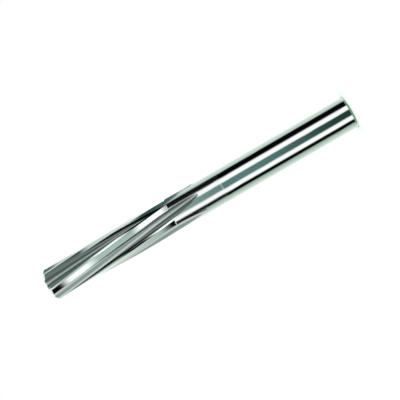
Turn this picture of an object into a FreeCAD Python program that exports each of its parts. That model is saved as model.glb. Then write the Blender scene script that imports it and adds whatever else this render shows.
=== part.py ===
import FreeCAD, Part
import math
import os

# ---------------------------------------------------------------------------
# Machine reamer, one solid ground from a single rod.
# It stands on the end face of its plain cylindrical shank: +Z runs from the
# shank end (z = 0) up to the cutting end.  Millimetres, real size.
# Six teeth, left-hand helix, right-hand cut.
# ---------------------------------------------------------------------------

# overall
D_CUT = 12.0            # cutting diameter, over the cylindrical margins
D_SHANK = 12.0          # ground shank
D_NECK = 11.96          # relieved neck between the flutes and the shank
L_TOTAL = 120.0
L_SHANK = 50.0          # ground shank, from the shank end
L_CUT = 50.0            # length over which the teeth are relieved, from the tip
L_FLUTE_FULL = 44.0     # flutes at full depth up to here, from the tip
L_FLUTE_END = 61.6      # last trace of the flute run-out, from the tip
SHANK_CHAMFER = 0.7     # 45 degrees
LEAD = 1.1              # 45 degree bevel lead at the cutting end
LEAD_CLEARANCE = 8.0    # degrees, relief ground on each bevel land
NECK_BLEND = 0.12       # length of the small cone where the neck meets the teeth
SHANK_BLEND = 0.6       # length of the shallow cone from the shank down to the neck

# teeth
N_TEETH = 6
HELIX = 7.0             # degrees, left hand
MARGIN_DEG = 6.5        # cylindrical margin behind the cutting edge
RELIEF_DEG = 17.9       # flat relief facet behind the margin
R_HEEL = 5.742          # radius at the heel of the facet
EDGE_REF_Z = 95.0       # height at which the reference edge angle is given
EDGE_REF_DEG = -71.6    # polar angle of tooth 1's cutting edge at that height
RELIEF_END_SLOPE = 45.0 # degrees, little shoulder that ends each facet

# flute section, square to the axis
RAKE_DEG = -3.0         # rake face against the radius through the cutting edge
FLUTE_DEPTH = 2.2       # from the cutting circle to the floor, half way across
FLOOR_TILT = 14.0       # degrees, the floor rises towards the cutting edge
ROOT_RADIUS = 3.0       # between the rake face and the floor
HEEL_WALL_DEG = 8.0     # back wall against the radius through the heel
HEEL_ROOT_RADIUS = 0.6  # between the floor and the back wall

R = D_CUT / 2.0
R_SHANK = D_SHANK / 2.0
R_NECK = D_NECK / 2.0
TWIST = -math.degrees(math.tan(math.radians(HELIX)) / R)   # degrees per mm of +z
PITCH_DEG = 360.0 / N_TEETH
FLUTE_DEG = PITCH_DEG - MARGIN_DEG - RELIEF_DEG
Z_TIP = L_TOTAL
Z_RUNOUT = L_TOTAL - L_FLUTE_FULL
Z_RELIEF_END = L_TOTAL - L_CUT
V = FreeCAD.Vector
AXIS = V(0, 0, 1)


def edge_angle(z):
    """Polar angle in degrees of tooth 1's cutting edge at height z."""
    return EDGE_REF_DEG + TWIST * (z - EDGE_REF_Z)


def polar(r, deg, z):
    a = math.radians(deg)
    return V(r * math.cos(a), r * math.sin(a), z)


def on_line(p, q, extra):
    """Point beyond q on the line from p to q."""
    d = q.sub(p)
    d.normalize()
    return q.add(d.multiply(extra))


# --- the turned and ground blank -------------------------------------------
profile = [
    V(0, 0, 0),
    V(R_SHANK - SHANK_CHAMFER, 0, 0),
    V(R_SHANK, 0, SHANK_CHAMFER),
    V(R_SHANK, 0, L_SHANK),
    V(R_NECK, 0, L_SHANK + SHANK_BLEND),
    V(R_NECK, 0, Z_RELIEF_END - NECK_BLEND),
    V(R, 0, Z_RELIEF_END),
    V(R, 0, Z_TIP - LEAD),
    V(R - LEAD, 0, Z_TIP),
    V(0, 0, Z_TIP),
]
blank = Part.Face(Part.makePolygon(profile + [profile[0]])).revolve(V(0, 0, 0), AXIS, 360)
if blank.ShapeType != "Solid":
    blank = Part.Solid(blank)

# --- flutes ------------------------------------------------------------------
def section():
    """Flute section as (ahead, out) points seen from the cutting edge's radius:
    rake face, root arc, floor, heel root arc, back wall.  Each entry is one
    edge, a pair of points for a line or three for an arc."""
    def unit(deg):
        # outward radial direction at so many degrees ahead of the edge
        return (math.sin(math.radians(deg)), math.cos(math.radians(deg)))

    def meet(p, u, q, v):
        det = u[0] * -v[1] + v[0] * u[1]
        t = ((q[0] - p[0]) * -v[1] + v[0] * (q[1] - p[1])) / det
        return (p[0] + u[0] * t, p[1] + u[1] * t)

    def step(p, u, d):
        return (p[0] + u[0] * d, p[1] + u[1] * d)

    def towards(p, q):
        d = math.hypot(q[0] - p[0], q[1] - p[1])
        return ((q[0] - p[0]) / d, (q[1] - p[1]) / d)

    edge = (0.0, R)
    h = unit(FLUTE_DEG)
    heel = (R_HEEL * h[0], R_HEEL * h[1])
    # directions: down the rake face, along the floor away from the edge, down the back wall
    rake = (-math.sin(math.radians(RAKE_DEG)), -math.cos(math.radians(RAKE_DEG)))
    m = unit(FLUTE_DEG / 2.0)
    mid = ((R - FLUTE_DEPTH) * m[0], (R - FLUTE_DEPTH) * m[1])
    f = unit(FLUTE_DEG / 2.0 + 90.0 + FLOOR_TILT)
    w = unit(FLUTE_DEG + 180.0 + HEEL_WALL_DEG)
    c1 = meet(edge, rake, mid, f)
    c2 = meet(heel, w, mid, f)

    def fillet(p, c, q, radius):
        u, v = towards(p, c), towards(c, q)
        turn = math.acos(u[0] * v[0] + u[1] * v[1])
        t = radius * math.tan(turn / 2.0)
        a, b = step(c, u, -t), step(c, v, t)
        # middle of the arc lies on the bisector of the corner
        n = (v[0] - u[0], v[1] - u[1])
        k = math.hypot(*n)
        n = (n[0] / k, n[1] / k)
        mid_arc = step(c, n, radius / math.cos(turn / 2.0) - radius)
        return a, mid_arc, b

    a1, m1, b1 = fillet(edge, c1, c2, ROOT_RADIUS)
    a2, m2, b2 = fillet(c1, c2, heel, HEEL_ROOT_RADIUS)
    top = step(edge, rake, -0.9)
    out = step(heel, w, -1.1)
    return [(top, a1), (a1, m1, b1), (b1, a2), (a2, m2, b2), (b2, out)]


SECTION = section()
# where the floor meets the heel root arc is the deepest point
core_r = min(math.hypot(p[0], p[1]) for e in SECTION for p in e)
# the wheel's side grinds the rake face, so the wheel lifts out along it
LIFT_DEPTH = 2.45       # lift at which the last of the wheel leaves the rod
WHEEL_R = ((L_FLUTE_END - L_FLUTE_FULL) ** 2 + LIFT_DEPTH ** 2) / (2.0 * LIFT_DEPTH)


def lift(z):
    """How far the section has moved outwards at height z in the run-out."""
    run = Z_RUNOUT - z
    if run <= 0:
        return 0.0
    return WHEEL_R - math.sqrt(WHEEL_R ** 2 - run ** 2)


def flute_wire(z):
    b = math.radians(edge_angle(z))
    rad = (math.cos(b), math.sin(b))
    ahead = (-math.sin(b), math.cos(b))
    up = lift(z)

    def at(p):
        o = p[1] + up
        return V(o * rad[0] + p[0] * ahead[0], o * rad[1] + p[0] * ahead[1], z)

    edges = []
    for e in SECTION:
        if len(e) == 2:
            edges.append(Part.LineSegment(at(e[0]), at(e[1])).toShape())
        else:
            edges.append(Part.Arc(at(e[0]), at(e[1]), at(e[2])).toShape())
    edges.append(Part.LineSegment(at(SECTION[-1][-1]), at(SECTION[0][0])).toShape())
    return Part.Wire(edges)


heights = [Z_TIP + 2.0 - i * 4.8 for i in range(10)]
heights = [h for h in heights if h > Z_RUNOUT + 1.0]
heights += [Z_RUNOUT + 0.0]
h = Z_RUNOUT - 2.0
while h > L_TOTAL - L_FLUTE_END - 6.0:
    heights.append(h)
    h -= 2.0
flute = Part.makeLoft([flute_wire(z) for z in heights], True, False)

# --- relief facets -------------------------------------------------------------
R_OUT = R + 0.9


def relief_wire(z):
    base = edge_angle(z)
    m = polar(R, base - MARGIN_DEG, z)
    heel = polar(R_HEEL, base - MARGIN_DEG - RELIEF_DEG, z)
    a = on_line(heel, m, 0.7)
    b = on_line(m, heel, 0.7)
    c = polar(R_OUT, base - MARGIN_DEG - RELIEF_DEG - 5.0, z)
    d = polar(R_OUT, base - MARGIN_DEG - RELIEF_DEG * 0.5, z)
    return Part.makePolygon([a, b, c, d, a])


zs = [Z_TIP + 2.0 - i * 4.5 for i in range(12)]
zs = [z for z in zs if z > Z_RELIEF_END + 1.0] + [Z_RELIEF_END - 1.5]
relief = Part.makeLoft([relief_wire(z) for z in zs], True, False)
# the facets end in a short conical shoulder
k = math.tan(math.radians(RELIEF_END_SLOPE))
r_low = 4.0
r_high = R + 1.5
cone_pts = [
    V(0, 0, Z_RELIEF_END - 4.0),
    V(r_high, 0, Z_RELIEF_END - 4.0),
    V(r_high, 0, Z_RELIEF_END - (r_high - R) * k),
    V(r_low, 0, Z_RELIEF_END + (R - r_low) * k),
    V(0, 0, Z_RELIEF_END + (R - r_low) * k),
]
stop = Part.Face(Part.makePolygon(cone_pts + [cone_pts[0]])).revolve(V(0, 0, 0), AXIS, 360)
if stop.ShapeType != "Solid":
    stop = Part.Solid(stop)
relief = relief.cut(stop)
if relief.ShapeType == "Compound" and len(relief.Solids) == 1:
    relief = relief.Solids[0]


def around(shape):
    out = []
    for i in range(N_TEETH):
        s = shape.copy()
        s.rotate(V(0, 0, 0), AXIS, PITCH_DEG * i)
        out.append(s)
    return out


body = blank
for tool in around(relief):
    body = body.cut(tool)
for tool in around(flute):
    body = body.cut(tool)

# --- relief on the bevel lead ---------------------------------------------------
# each bevel land is a flat that falls away behind its own short cutting edge
z_mid = Z_TIP - LEAD / 2.0
r_mid = R - LEAD / 2.0
base = edge_angle(z_mid)
box = Part.makeBox(4.6, 3.2, 1.2, V(-2.3, -2.95, 0))
# local frame: x along the bevel, y ahead of the edge, z out of the material
box.rotate(V(0, 0, 0), V(1, 0, 0), LEAD_CLEARANCE)
box.rotate(V(0, 0, 0), V(0, 1, 0), 45.0)
box.translate(V(r_mid, 0, z_mid))
box.rotate(V(0, 0, 0), AXIS, base)
for tool in around(box):
    body = body.cut(tool)

body = body.removeSplitter()
if body.ShapeType == "Compound" and len(body.Solids) == 1:
    body = body.Solids[0]

os.makedirs("parts", exist_ok=True)
body.exportStep("parts/reamer_body.step")

bb = body.BoundBox
print("solids", len(body.Solids), "valid", body.isValid(), "faces", len(body.Faces))
print("volume mm3 %.1f" % body.Volume, "box", [round(v, 3) for v in
      (bb.XMin, bb.YMin, bb.ZMin, bb.XMax, bb.YMax, bb.ZMax)])
print("core radius %.3f" % core_r, "wheel radius %.1f" % WHEEL_R)
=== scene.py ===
import math

import bpy
import numpy as np
from mathutils import Matrix, Vector


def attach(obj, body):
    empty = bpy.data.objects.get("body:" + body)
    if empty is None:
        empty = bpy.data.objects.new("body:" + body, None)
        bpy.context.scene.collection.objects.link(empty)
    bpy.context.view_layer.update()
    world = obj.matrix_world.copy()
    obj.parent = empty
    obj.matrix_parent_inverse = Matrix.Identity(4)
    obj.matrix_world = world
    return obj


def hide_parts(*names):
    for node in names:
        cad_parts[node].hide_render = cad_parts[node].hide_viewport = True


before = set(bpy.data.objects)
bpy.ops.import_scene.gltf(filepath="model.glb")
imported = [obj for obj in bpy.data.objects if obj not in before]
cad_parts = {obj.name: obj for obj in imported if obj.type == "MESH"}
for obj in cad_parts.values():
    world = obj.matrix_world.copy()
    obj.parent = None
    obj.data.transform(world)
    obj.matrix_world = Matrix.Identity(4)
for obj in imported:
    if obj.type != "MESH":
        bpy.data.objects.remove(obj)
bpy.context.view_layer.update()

MM = 0.001

# ---------------------------------------------------------------------------
# Machine reamer, ground from one rod.  The numbers repeat part.py's, in mm.
# s is the distance from the cutting end, z = 120 - s.
# ---------------------------------------------------------------------------
R = 6.0
R_NECK = 5.98
L_TOTAL = 120.0
Z_SHANK = 50.0
SHANK_BLEND = 0.6
NECK_BLEND = 0.12
Z_RELIEF = 70.0
Z_RUNOUT = 76.0
Z_FLUTE_END = 58.4
CHAMFER = 0.7
LEAD = 1.1
CLEAR = math.radians(8.0)
MARGIN = 6.5
RELIEF = 17.9
R_HEEL = 5.742
TWIST = -math.degrees(math.tan(math.radians(7.0)) / R)
FLUTE_DEG = 60.0 - MARGIN - RELIEF
RAKE = -3.0
DEPTH = 2.2
TILT = 14.0
ROOT_R = 3.0
WALL = 8.0
HEEL_ROOT_R = 0.6
LIFT_DEPTH = 2.45
WHEEL_R = ((Z_RUNOUT - Z_FLUTE_END) ** 2 + LIFT_DEPTH ** 2) / (2 * LIFT_DEPTH)


def edge_deg(z):
    return -71.6 + TWIST * (z - 95.0)


# --- flute section as a dense line of (ahead, out) points ---------------------
def unit(deg):
    return np.array([math.sin(math.radians(deg)), math.cos(math.radians(deg))])


def meet(p, u, q, v):
    a = np.array([[u[0], -v[0]], [u[1], -v[1]]])
    return p + u * np.linalg.solve(a, q - p)[0]


def arc_points(a, m, b, n):
    # circle through three points
    ax, ay, bx, by, cx, cy = *a, *m, *b
    d = 2 * (ax * (by - cy) + bx * (cy - ay) + cx * (ay - by))
    ux = ((ax**2 + ay**2) * (by - cy) + (bx**2 + by**2) * (cy - ay) + (cx**2 + cy**2) * (ay - by)) / d
    uy = ((ax**2 + ay**2) * (cx - bx) + (bx**2 + by**2) * (ax - cx) + (cx**2 + cy**2) * (bx - ax)) / d
    c = np.array([ux, uy])
    t0 = math.atan2(*(a - c)[::-1])
    t1 = math.atan2(*(b - c)[::-1])
    while t1 - t0 > math.pi:
        t1 -= 2 * math.pi
    while t1 - t0 < -math.pi:
        t1 += 2 * math.pi
    r = np.linalg.norm(a - c)
    t = np.linspace(t0, t1, n)
    return np.stack([c[0] + r * np.cos(t), c[1] + r * np.sin(t)], 1)


def build_section():
    edge = np.array([0.0, R])
    heel = R_HEEL * unit(FLUTE_DEG)
    rake = -unit(RAKE)
    mid = (R - DEPTH) * unit(FLUTE_DEG / 2)
    f = unit(FLUTE_DEG / 2 + 90 + TILT)
    w = unit(FLUTE_DEG + 180 + WALL)
    c1 = meet(edge, rake, mid, f)
    c2 = meet(heel, w, mid, f)

    def fillet(p, c, q, radius):
        u = (c - p) / np.linalg.norm(c - p)
        v = (q - c) / np.linalg.norm(q - c)
        turn = math.acos(float(u @ v))
        t = radius * math.tan(turn / 2)
        n = (v - u) / np.linalg.norm(v - u)
        return c - u * t, c + n * (radius / math.cos(turn / 2) - radius), c + v * t

    a1, m1, b1 = fillet(edge, c1, c2, ROOT_R)
    a2, m2, b2 = fillet(c1, c2, heel, HEEL_ROOT_R)
    top = edge - rake * 1.2
    out = heel - w * 1.4
    parts = [
        np.linspace(top, a1, 240)[:-1],
        arc_points(a1, m1, b1, 400)[:-1],
        np.linspace(b1, a2, 200)[:-1],
        arc_points(a2, m2, b2, 200)[:-1],
        np.linspace(b2, out, 300),
    ]
    return np.concatenate(parts)


SEC = build_section()
SEC_U = np.concatenate([[0], np.cumsum(np.linalg.norm(np.diff(SEC, axis=0), axis=1))])


def lift(z):
    run = Z_RUNOUT - z
    if run <= 0:
        return 0.0
    if run >= 0.6 * WHEEL_R:
        return 20.0
    return WHEEL_R - math.sqrt(WHEEL_R**2 - run**2)


def crossings(l, r_edge, r_heel):
    """Arc lengths along the section where it leaves the edge side's circle and the heel side's."""
    x, y = SEC[:, 0], SEC[:, 1] + l
    r = np.hypot(x, y)
    k = int(r.argmin())
    if r[k] >= min(r_edge, r_heel) - 1e-4:
        return None
    # from the deepest point outwards
    i = k
    while i > 0 and r[i] < r_edge:
        i -= 1
    f = (r_edge - r[i + 1]) / (r[i] - r[i + 1])
    u0 = SEC_U[i + 1] + (SEC_U[i] - SEC_U[i + 1]) * f
    j = k
    while j < len(r) - 1 and r[j] < r_heel:
        j += 1
    f = (r_heel - r[j - 1]) / (r[j] - r[j - 1])
    u1 = SEC_U[j - 1] + (SEC_U[j] - SEC_U[j - 1]) * f
    return u0, u1


def sec_at(u, l):
    return np.stack([np.interp(u, SEC_U, SEC[:, 0]), np.interp(u, SEC_U, SEC[:, 1]) + l], -1)


# spacing of the points across a flute: finer near both walls and in the corner
N_REL, N_MAR, N_FLU = 10, 5, 38
full0, full1 = crossings(0.0, R, R_HEEL)


def flute_spacing():
    # turn of the section per length sets the density
    u = np.linspace(full0, full1, 2000)
    p = sec_at(u, 0.0)
    d = np.diff(p, axis=0)
    ang = np.unwrap(np.arctan2(d[:, 1], d[:, 0]))
    turn = np.abs(np.diff(ang))
    w = np.concatenate([[0], np.cumsum(turn / turn.sum() * 0.68 + 0.32 / len(turn))])
    t = np.linspace(0, 1, N_FLU + 1)
    uu = np.interp(t, w / w[-1], u[: len(w)])
    uu[0], uu[-1] = full0, full1
    return (uu - full0) / (full1 - full0)


FT = flute_spacing()

nr, nt, nz = math.cos(math.radians(45)) * math.cos(CLEAR), math.sin(CLEAR), math.sin(math.radians(45)) * math.cos(CLEAR)
Z0 = L_TOTAL - LEAD


def r_bevel(z, alpha_deg):
    """Radius of the bevel land's plane, alpha degrees behind the cutting edge."""
    a = math.radians(alpha_deg)
    return (nr * R + nz * (Z0 - z)) / (nr * math.cos(a) + nt * math.sin(a))


# land points in the relieved length: heel ... margin end ... edge, as (alpha behind edge, r)
H = np.array([R_HEEL * math.cos(math.radians(MARGIN + RELIEF)), R_HEEL * math.sin(math.radians(MARGIN + RELIEF))])
M = np.array([R * math.cos(math.radians(MARGIN)), R * math.sin(math.radians(MARGIN))])
land = []
for i in range(N_REL):
    p = H + (M - H) * i / N_REL
    land.append((math.degrees(math.atan2(p[1], p[0])), float(np.hypot(*p))))
for i in range(N_MAR + 1):
    land.append((MARGIN * (1 - i / N_MAR), R))
LAND_N = len(land)                      # 16 points, heel to edge inclusive
LAND_FRAC = [(land[0][0] - a) / land[0][0] for a, _ in land]


def blank_r(z):
    if z >= Z_RELIEF:
        return R
    if z > Z_RELIEF - NECK_BLEND:
        return R_NECK + (R - R_NECK) * (z - (Z_RELIEF - NECK_BLEND)) / NECK_BLEND
    if z >= Z_SHANK + SHANK_BLEND:
        return R_NECK
    if z >= Z_SHANK:
        return R + (R_NECK - R) * (z - Z_SHANK) / SHANK_BLEND
    if z >= CHAMFER:
        return R
    return R - (CHAMFER - z)


# a faint dressing line across each flute where the run-out starts
def dress(z):
    return 0.022 * math.exp(-(((z - Z_RUNOUT) / 0.11) ** 2))


PER = (LAND_N - 1) + N_FLU               # columns in one tooth pitch: edge..heel flute, heel..edge land


def ring(z_land, z_flute, relieved, zone):
    """One closed ring of 6 * PER points.  z_land and z_flute give heights per column."""
    out = []
    fl = []
    gap = None
    for i in range(N_FLU + 1):
        z = z_flute(i)
        l = lift(z)
        if relieved:
            re, rh = R, R_HEEL
            if z > Z0 - 0.6:
                re = min(re, r_bevel(z, 0.0))
                rh = min(rh, r_bevel(z, land[0][0]))
        else:
            re = rh = blank_r(z)
        c = crossings(l, re, rh)
        if c is None:
            fl.append(None)
            continue
        p = sec_at(c[0] + (c[1] - c[0]) * FT[i], l)
        if 0 < i < N_FLU:
            rr = float(np.hypot(*p))
            p = p * (rr - dress(z)) / rr
        fl.append(p)
    if any(p is None for p in fl):
        # below the run-out: the columns close up towards the last trace
        z = z_flute(0)
        half = 0.9
        mid = LAST_DEG
        fl = []
        for i in range(N_FLU + 1):
            a = mid - half + 2 * half * FT[i]
            fl.append(blank_r(z) * unit(a))
    # angles of the flute's two ends, ahead of the edge radius
    a_edge = math.degrees(math.atan2(fl[0][0], fl[0][1]))
    a_heel = math.degrees(math.atan2(fl[-1][0], fl[-1][1]))
    for k in range(6):
        for i in range(N_FLU + 1):
            z = z_flute(i)
            b = math.radians(edge_deg(z) + 60 * k)
            p = fl[i]
            out.append((p[1] * math.cos(b) - p[0] * math.sin(b), p[1] * math.sin(b) + p[0] * math.cos(b), z))
        # land of the next tooth, from just after the heel up to just before its edge
        for i in range(1, LAND_N - 1):
            z = z_land(i)
            b0 = edge_deg(z) + 60 * (k + 1)
            if relieved:
                al, r = land[i]
                if z > Z0 - 0.6:
                    r = min(r, r_bevel(z, al))
                th = b0 - al
            else:
                r = blank_r(z)
                start = a_heel - 60
                th = b0 + start + (a_edge - start) * LAND_FRAC[i]
            t = math.radians(th)
            out.append((r * math.cos(t), r * math.sin(t), z))
    return out


def last_trace():
    z = Z_FLUTE_END
    best = None
    for zz in np.arange(Z_FLUTE_END + 3, Z_FLUTE_END - 6, -0.02):
        l = lift(zz)
        r = np.hypot(SEC[:, 0], SEC[:, 1] + l)
        k = int(r.argmin())
        if r[k] < R_NECK - 0.004:
            best = (float(zz), math.degrees(math.atan2(SEC[k, 0], SEC[k, 1] + l)))
    return best


Z_LAST, LAST_DEG = last_trace()
print("last trace of the run-out at z %.2f, %.1f deg ahead" % (Z_LAST, LAST_DEG))

# --- rings from the cutting end down to the shank end ---------------------------
rings, meta = [], []


def crease(i):
    al, r = land[i]
    a = math.radians(al)
    return Z0 + (nr * R - r * (nr * math.cos(a) + nt * math.sin(a))) / nz


def flute_crease(i):
    # column i of a flute runs from its own edge to the next tooth's heel
    return crease(LAND_N - 1) + (crease(0) - crease(LAND_N - 1)) * FT[i]


for u in (1.0, 0.97, 0.8, 0.6, 0.4, 0.2, 0.03, 0.0):
    rings.append(ring(lambda i, u=u: crease(i) + (L_TOTAL - crease(i)) * u,
                      lambda i, u=u: flute_crease(i) + (L_TOTAL - flute_crease(i)) * u, True, "lead"))
    meta.append(("lead", u))
for u in (0.06, 0.3, 1.0):
    zt = Z0 - 0.5
    rings.append(ring(lambda i, u=u: crease(i) + (zt - crease(i)) * u,
                      lambda i, u=u: flute_crease(i) + (zt - flute_crease(i)) * u, True, "teeth"))
    meta.append(("teeth", Z0 - 0.5 * u))
z = Z0 - 0.5 - 0.42
while z > Z_RUNOUT + 0.5:
    rings.append(ring(lambda i, z=z: z, lambda i, z=z: z, True, "teeth"))
    meta.append(("teeth", z))
    z -= 0.42
for z in (76.4, 76.24, 76.17, 76.11, 76.05, 76.0, 75.95, 75.89, 75.83, 75.76, 75.6):
    rings.append(ring(lambda i, z=z: z, lambda i, z=z: z, True, "teeth"))
    meta.append(("teeth", z))
z = 75.3
while z > Z_RELIEF + 0.6:
    rings.append(ring(lambda i, z=z: z, lambda i, z=z: z, True, "teeth"))
    meta.append(("teeth", z))
    z -= 0.3


def z_b(i):
    return Z_RELIEF + max(R - land[i][1], 0.004)


def z_bf(i):
    return z_b(LAND_N - 1) + (z_b(0) - z_b(LAND_N - 1)) * FT[i]


rings.append(ring(lambda i: z_b(i) + 0.02, lambda i: z_bf(i) + 0.02, True, "teeth")); meta.append(("teeth", 70.3))
rings.append(ring(z_b, z_bf, True, "teeth")); meta.append(("relief_end", 70.2))


# ring A at the top of the little shoulder: full radius, at the same angles
def ring_a():
    r0 = ring(lambda i: Z_RELIEF, lambda i: Z_RELIEF, False, "neck")
    out = list(r0)
    for k in range(6):
        for i in range(1, LAND_N - 1):
            b0 = edge_deg(Z_RELIEF) + 60 * (k + 1)
            al, _ = land[i]
            t = math.radians(b0 - al)
            out[k * PER + N_FLU + i] = (R * math.cos(t), R * math.sin(t), Z_RELIEF)
    return out


rings.append(ring_a()); meta.append(("shoulder", Z_RELIEF))
for z in (69.88, 69.8):
    rings.append(ring(lambda i, z=z: z, lambda i, z=z: z, False, "neck")); meta.append(("neck", z))
z = 69.55
while z > Z_LAST + 0.25:
    rings.append(ring(lambda i, z=z: z, lambda i, z=z: z, False, "neck")); meta.append(("neck", z))
    z -= 0.28 if z > Z_LAST + 2.5 else 0.14
for z in (Z_LAST + 0.12, Z_LAST, Z_LAST - 0.25, Z_LAST - 1.0, 56.0, 54.0, 52.0, 51.0, 50.65, 50.6):
    rings.append(ring(lambda i, z=z: z, lambda i, z=z: z, False, "neck")); meta.append(("neck", z))
for z in (50.0, 49.95, 49.0, 46.0, 43.0, 40.0, 37.0, 34.0, 31.0, 28.0, 25.0, 22.0, 19.0, 16.0, 13.0, 10.0, 7.0, 4.0, 2.0, 1.0, 0.74, 0.7):
    rings.append(ring(lambda i, z=z: z, lambda i, z=z: z, False, "shank")); meta.append(("shank", z))
for z in (0.66, 0.35, 0.04, 0.0):
    rings.append(ring(lambda i, z=z: z, lambda i, z=z: z, False, "chamfer")); meta.append(("chamfer", z))

NCOL = 6 * PER
assert all(len(r) == NCOL for r in rings), [len(r) for r in rings if len(r) != NCOL][:3]
NR = len(rings)
verts = np.array([p for r in rings for p in r]) * MM

faces, mats, uvs = [], [], []
LAND_M, FLUTE_M, SHANK_M, NECK_M, END_M, SHOULDER_M = range(6)
sharp = set()


def vid(r, c):
    return r * NCOL + c % NCOL


ring_z = [float(np.mean([p[2] for p in r])) for r in rings]
for r in range(NR - 1):
    kind0, kind1 = meta[r][0], meta[r + 1][0]
    for c in range(NCOL):
        cc = c % PER
        in_flute = cc < N_FLU
        faces.append((vid(r, c), vid(r + 1, c), vid(r + 1, c + 1), vid(r, c + 1)))
        z = ring_z[r + 1]
        if kind1 == "chamfer":
            m = END_M
        elif kind1 == "shank":
            m = SHANK_M if ring_z[r] <= 50.0001 else NECK_M
        elif kind1 == "shoulder":
            m = FLUTE_M if in_flute else SHOULDER_M
        elif kind1 == "neck":
            m = FLUTE_M if (in_flute and z > Z_LAST - 0.01) else NECK_M
        else:
            m = FLUTE_M if in_flute else LAND_M
        mats.append(m)
        u0, u1 = c * 0.12, (c + 1) * 0.12
        uvs.append([(u0, ring_z[r] * 0.1), (u0, ring_z[r + 1] * 0.1), (u1, ring_z[r + 1] * 0.1), (u1, ring_z[r] * 0.1)])

# sharp lines along the tool
for r in range(NR - 1):
    z = ring_z[r + 1]
    for k in range(6):
        if z > Z_LAST - 0.01:
            sharp.add((vid(r, k * PER), vid(r + 1, k * PER)))                       # cutting edge
            sharp.add((vid(r, k * PER + N_FLU), vid(r + 1, k * PER + N_FLU)))       # heel
        if meta[r + 1][0] in ("lead", "teeth", "relief_end"):
            sharp.add((vid(r, k * PER + N_FLU + N_REL), vid(r + 1, k * PER + N_FLU + N_REL)))
# sharp lines round the tool
for r in range(NR):
    kind = meta[r][0]
    for c in range(NCOL):
        cc = c % PER
        in_flute = cc < N_FLU
        e = (vid(r, c), vid(r, c + 1))
        if r == 0 or r == NR - 1:
            sharp.add(e)
        elif kind == "lead" and meta[r][1] == 0.0 and not in_flute:
            sharp.add(e)
        elif kind in ("relief_end", "shoulder") and not in_flute:
            sharp.add(e)
        elif kind == "neck" and abs(meta[r][1] - 69.88) < 1e-6 and not in_flute:
            sharp.add(e)
        elif kind == "neck" and abs(meta[r][1] - 50.6) < 1e-6:
            sharp.add(e)
        elif kind == "shank" and meta[r][1] in (50.0, 0.7):
            sharp.add(e)

# end faces, filled towards the axis
extra = []
base_n = len(verts)


def cap(r_index, z, flip, shrink):
    global base_n
    ringp = verts[r_index * NCOL:(r_index + 1) * NCOL]
    prev = [vid(r_index, c) for c in range(NCOL)]
    for s in shrink:
        ids = list(range(base_n, base_n + NCOL))
        for c in range(NCOL):
            x, y, _ = ringp[c]
            r = math.hypot(x, y)
            target = s * R * MM
            k = s * (1 - 0.0) if s > 0.6 else target / r
            extra.append((x * k, y * k, z * MM))
        base_n += NCOL
        for c in range(NCOL):
            f = (prev[c], prev[(c + 1) % NCOL], ids[(c + 1) % NCOL], ids[c])
            faces.append(f if not flip else f[::-1])
            mats.append(END_M)
            uvs.append([(0, 0)] * 4)
        prev = ids
    extra.append((0, 0, z * MM))
    centre = base_n
    base_n += 1
    for c in range(NCOL):
        f = (prev[c], prev[(c + 1) % NCOL], centre)
        faces.append(f if not flip else f[::-1])
        mats.append(END_M)
        uvs.append([(0, 0)] * 3)


cap(0, L_TOTAL, False, (0.93, 0.4))
cap(NR - 1, 0.0, True, (0.8, 0.3))
verts = np.concatenate([verts, np.array(extra)])

mesh = bpy.data.meshes.new("reamer_ground")
mesh.from_pydata(verts.tolist(), [], faces)
mesh.update()
obj = bpy.data.objects.new("reamer_ground", mesh)
bpy.context.scene.collection.objects.link(obj)
mesh.polygons.foreach_set("use_smooth", [True] * len(mesh.polygons))
mesh.polygons.foreach_set("material_index", mats)
uv = mesh.uv_layers.new(name="ground")
uv.data.foreach_set("uv", [x for f in uvs for p in f for x in p])
key = {}
for e in mesh.edges:
    a, b = e.vertices
    key[(a, b)] = key[(b, a)] = e.index
flags = [False] * len(mesh.edges)
for a, b in sharp:
    if (a, b) in key:
        flags[key[(a, b)]] = True
mesh.edges.foreach_set("use_edge_sharp", flags)
mesh.update()
print("triangles", sum(len(p.vertices) - 2 for p in mesh.polygons), "rings", NR, "columns", NCOL)


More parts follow.
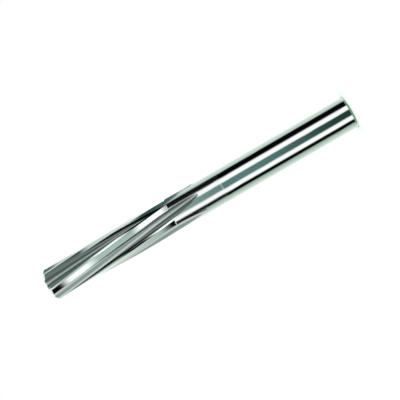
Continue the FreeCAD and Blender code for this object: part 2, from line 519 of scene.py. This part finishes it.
# --- materials -------------------------------------------------------------------
def new_mat(name, base, rough, aniso=0.0, kind="land", colour_var=0.03, rough_var=0.03, bump=0.0, lines=0.0):
    m = bpy.data.materials.new(name)
    m.use_nodes = True
    nt_ = m.node_tree
    nodes, links = nt_.nodes, nt_.links
    nodes.clear()
    out = nodes.new("ShaderNodeOutputMaterial")
    p = nodes.new("ShaderNodeBsdfPrincipled")
    links.new(p.outputs[0], out.inputs[0])
    p.inputs["Metallic"].default_value = 1.0
    p.inputs["Specular IOR Level"].default_value = 0.5
    tc = nodes.new("ShaderNodeTexCoord")
    # soft cloudy variation over the surface
    noise = nodes.new("ShaderNodeTexNoise")
    noise.inputs["Scale"].default_value = 160.0
    noise.inputs["Detail"].default_value = 3.0
    links.new(tc.outputs["Object"], noise.inputs["Vector"])
    # fine grinding lines
    mp = nodes.new("ShaderNodeMapping")
    if kind == "turned":      # lines run round the tool: vary with z only
        links.new(tc.outputs["Object"], mp.inputs["Vector"])
        mp.inputs["Scale"].default_value = (60.0, 60.0, 5200.0)
    else:                     # lines run along the flute: vary across it
        links.new(tc.outputs["UV"], mp.inputs["Vector"])
        mp.inputs["Scale"].default_value = (26.0, 0.9, 1.0)
    fine = nodes.new("ShaderNodeTexNoise")
    fine.inputs["Scale"].default_value = 1.0
    fine.inputs["Detail"].default_value = 4.0
    fine.inputs["Roughness"].default_value = 0.6
    links.new(mp.outputs[0], fine.inputs["Vector"])
    # colour
    mix = nodes.new("ShaderNodeMix")
    mix.data_type = "RGBA"
    b = base
    mix.inputs[6].default_value = (b[0] * (1 - colour_var), b[1] * (1 - colour_var), b[2] * (1 - colour_var), 1)
    mix.inputs[7].default_value = (min(1, b[0] * (1 + colour_var)), min(1, b[1] * (1 + colour_var)), min(1, b[2] * (1 + colour_var)), 1)
    av = nodes.new("ShaderNodeMath"); av.operation = "ADD"
    h1 = nodes.new("ShaderNodeMath"); h1.operation = "MULTIPLY"; h1.inputs[1].default_value = 0.5
    h2 = nodes.new("ShaderNodeMath"); h2.operation = "MULTIPLY"; h2.inputs[1].default_value = 0.5
    links.new(noise.outputs[0], h1.inputs[0]); links.new(fine.outputs[0], h2.inputs[0])
    links.new(h1.outputs[0], av.inputs[0]); links.new(h2.outputs[0], av.inputs[1])
    links.new(av.outputs[0], mix.inputs[0])
    links.new(mix.outputs[2], p.inputs["Base Color"])
    # roughness
    mr = nodes.new("ShaderNodeMapRange")
    mr.inputs["From Min"].default_value = 0.3
    mr.inputs["From Max"].default_value = 0.7
    mr.inputs["To Min"].default_value = max(0.02, rough - rough_var)
    mr.inputs["To Max"].default_value = rough + rough_var
    links.new(av.outputs[0], mr.inputs["Value"])
    links.new(mr.outputs[0], p.inputs["Roughness"])
    if bump > 0:
        bm = nodes.new("ShaderNodeBump")
        bm.inputs["Strength"].default_value = bump
        bm.inputs["Distance"].default_value = lines
        links.new(fine.outputs[0], bm.inputs["Height"])
        links.new(bm.outputs[0], p.inputs["Normal"])
    return m


BASE = (0.560, 0.575, 0.570)
materials = [
    new_mat("ground_land", BASE, 0.07, kind="along", colour_var=0.02, rough_var=0.02),
    # the flute faces get a darker base colour (0.31, 0.33, 0.33) than the lands' BASE: painted shade in the flutes'
    # hollows; their grinding lines, bump and roughness are the real finish
    new_mat("ground_flute_painted_shade", (0.31, 0.33, 0.33), 0.10, kind="along", colour_var=0.05, rough_var=0.04, bump=0.10, lines=0.000006),
    new_mat("polished_shank", BASE, 0.05, kind="turned", colour_var=0.015, rough_var=0.015),
    new_mat("ground_neck", BASE, 0.14, kind="turned", colour_var=0.03, rough_var=0.03),
    new_mat("ground_end", BASE, 0.22, kind="turned", colour_var=0.03, rough_var=0.05),
    new_mat("relief_shoulder", BASE, 0.22, kind="turned", colour_var=0.03, rough_var=0.05),
]
for m in materials:
    mesh.materials.append(m)

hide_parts("reamer_body")
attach(obj, "root")

# --- floor, light and camera ---------------------------------------------------------
fm = bpy.data.meshes.new("floor")
S = 2.5
fm.from_pydata([(-S, -S, 0), (S, -S, 0), (S, S, 0), (-S, S, 0)], [], [(0, 1, 2, 3)])
floor = bpy.data.objects.new("floor", fm)
bpy.context.scene.collection.objects.link(floor)
fmat = bpy.data.materials.new("pale_floor")
fmat.use_nodes = True
fp = fmat.node_tree.nodes["Principled BSDF"]
fp.inputs["Base Color"].default_value = (0.93, 0.93, 0.93, 1)
fp.inputs["Roughness"].default_value = 0.9
fp.inputs["Specular IOR Level"].default_value = 0.0
fm.materials.append(fmat)
floor.visible_glossy = False

scene = bpy.context.scene
scene.view_settings.view_transform = "Standard"
scene.view_settings.look = "None"
scene.view_settings.exposure = 0
scene.view_settings.gamma = 1


def lin(c):
    c = c / 255.0
    return c / 12.92 if c <= 0.04045 else ((c + 0.055) / 1.055) ** 2.4


# soft boxes and dark flags round the tool, as (bearing in degrees, colour); 0 is towards the front.
# The same flags are hung at four heights; only the opening at the front changes from dark to pale.
WHITE, PALE, GREY, BLACK = (252, 253, 252), (207, 221, 212), (160, 180, 167), (5, 6, 9)
SLATE = (100, 116, 112)


def studio(front, left_flag):
    return [(-180, WHITE), (-125, PALE), (-98, (188, 203, 195)), (-88, left_flag), (-54, left_flag), (-43, WHITE),
            (-22, WHITE), (-14, front), (20, front), (31, WHITE), (49, WHITE), (58, BLACK), (76, BLACK), (86, GREY),
            (125, PALE), (180, WHITE)]


DEEP = studio((34, 58, 52), BLACK)
LOW = studio((88, 122, 120), BLACK)
HIGH = studio((165, 188, 178), (8, 12, 17))
TOP = studio((172, 193, 184), SLATE)
world = bpy.data.worlds.new("studio")
scene.world = world
world.use_nodes = True
wn, wl = world.node_tree.nodes, world.node_tree.links
wn.clear()
wout = wn.new("ShaderNodeOutputWorld")
tc = wn.new("ShaderNodeTexCoord")
sep = wn.new("ShaderNodeSeparateXYZ")
wl.new(tc.outputs["Generated"], sep.inputs[0])


def math_node(op, a, b=None, clamp=False):
    n = wn.new("ShaderNodeMath")
    n.operation = op
    n.use_clamp = clamp
    for k, v in ((0, a), (1, b)):
        if v is None:
            continue
        if isinstance(v, (int, float)):
            n.inputs[k].default_value = v
        else:
            wl.new(v, n.inputs[k])
    return n.outputs[0]


negx = math_node("MULTIPLY", sep.outputs[0], -1.0)
negy = math_node("MULTIPLY", sep.outputs[1], -1.0)
psi = math_node("ARCTAN2", negx, negy)
fac = math_node("MULTIPLY_ADD", psi, 1.0 / (2 * math.pi))
fac.node.inputs[2].default_value = 0.5


def ramp(stops):
    n = wn.new("ShaderNodeValToRGB")
    cr = n.color_ramp
    cr.interpolation = "LINEAR"
    while len(cr.elements) > 1:
        cr.elements.remove(cr.elements[-1])
    for i, (a, c) in enumerate(stops):
        pos = (a + 180) / 360.0
        e = cr.elements[0] if i == 0 else cr.elements.new(pos)
        e.position = pos
        e.color = (lin(c[0]), lin(c[1]), lin(c[2]), 1)
    wl.new(fac, n.inputs[0])
    return n.outputs[0]


deep_c, lo_c, hi_c, top_c = ramp(DEEP), ramp(LOW), ramp(HIGH), ramp(TOP)
horiz = math_node("SQRT", math_node("ADD", math_node("MULTIPLY", sep.outputs[0], sep.outputs[0]), math_node("MULTIPLY", sep.outputs[1], sep.outputs[1])))
elev = math_node("ARCTAN2", sep.outputs[2], horiz)


def smooth(value, lo, hi):
    n = wn.new("ShaderNodeMapRange")
    n.interpolation_type = "SMOOTHSTEP"
    n.inputs["From Min"].default_value = math.radians(lo)
    n.inputs["From Max"].default_value = math.radians(hi)
    wl.new(value, n.inputs["Value"])
    return n.outputs[0]


def mix_c(f, a, b):
    n = wn.new("ShaderNodeMix")
    n.data_type = "RGBA"
    if isinstance(f, float):
        n.inputs[0].default_value = f
    else:
        wl.new(f, n.inputs[0])
    for k, v in ((6, a), (7, b)):
        if isinstance(v, tuple):
            n.inputs[k].default_value = v
        else:
            wl.new(v, n.inputs[k])
    return n.outputs[2]


side = mix_c(smooth(elev, -9.0, 0.0), deep_c, lo_c)
side = mix_c(smooth(elev, 2.0, 8.0), side, hi_c)
side = mix_c(smooth(elev, 9.0, 14.0), side, top_c)
# a pale ceiling, and a dark green bench underfoot
side = mix_c(smooth(elev, 24.0, 45.0), side, (lin(225), lin(238), lin(226), 1))
side = mix_c(smooth(math_node("MULTIPLY", elev, -1.0), 22.0, 42.0), side, (lin(112), lin(150), lin(122), 1))
bg = wn.new("ShaderNodeBackground")
wl.new(side, bg.inputs[0])
bg.inputs[1].default_value = 1.0 / 0.568
white = wn.new("ShaderNodeBackground")
white.inputs[0].default_value = (1, 1, 1, 1)
white.inputs[1].default_value = 1.0
lp = wn.new("ShaderNodeLightPath")
ms = wn.new("ShaderNodeMixShader")
wl.new(lp.outputs["Is Camera Ray"], ms.inputs[0])
wl.new(bg.outputs[0], ms.inputs[1])
wl.new(white.outputs[0], ms.inputs[2])
wl.new(ms.outputs[0], wout.inputs[0])

cam_data = bpy.data.cameras.new("camera")
cam = bpy.data.objects.new("camera", cam_data)
scene.collection.objects.link(cam)
scene.camera = cam
loc = Vector((0.0, -0.270, 0.0427))
target = Vector((0.0, 0.0, 0.060))
fwd = (target - loc).normalized()
back = -fwd
zc = (Vector((0, 0, 1)) - fwd * fwd.z).normalized()
n_ = back.cross(zc)
th = math.radians(30.06)
right = -math.cos(th) * zc + math.sin(th) * n_
up = -math.sin(th) * zc - math.cos(th) * n_
rot = Matrix((right, up, back)).transposed()
cam.matrix_world = Matrix.Translation(loc) @ rot.to_4x4()
cam_data.sensor_fit = "HORIZONTAL"
cam_data.sensor_width = 36.0
cam_data.lens = 781.0 / 400.0 * 36.0
cam_data.shift_x = 2.1 / 400.0
cam_data.shift_y = -0.08 / 400.0
cam_data.clip_start = 0.01
cam_data.clip_end = 10.0
cam_data.dof.use_dof = False
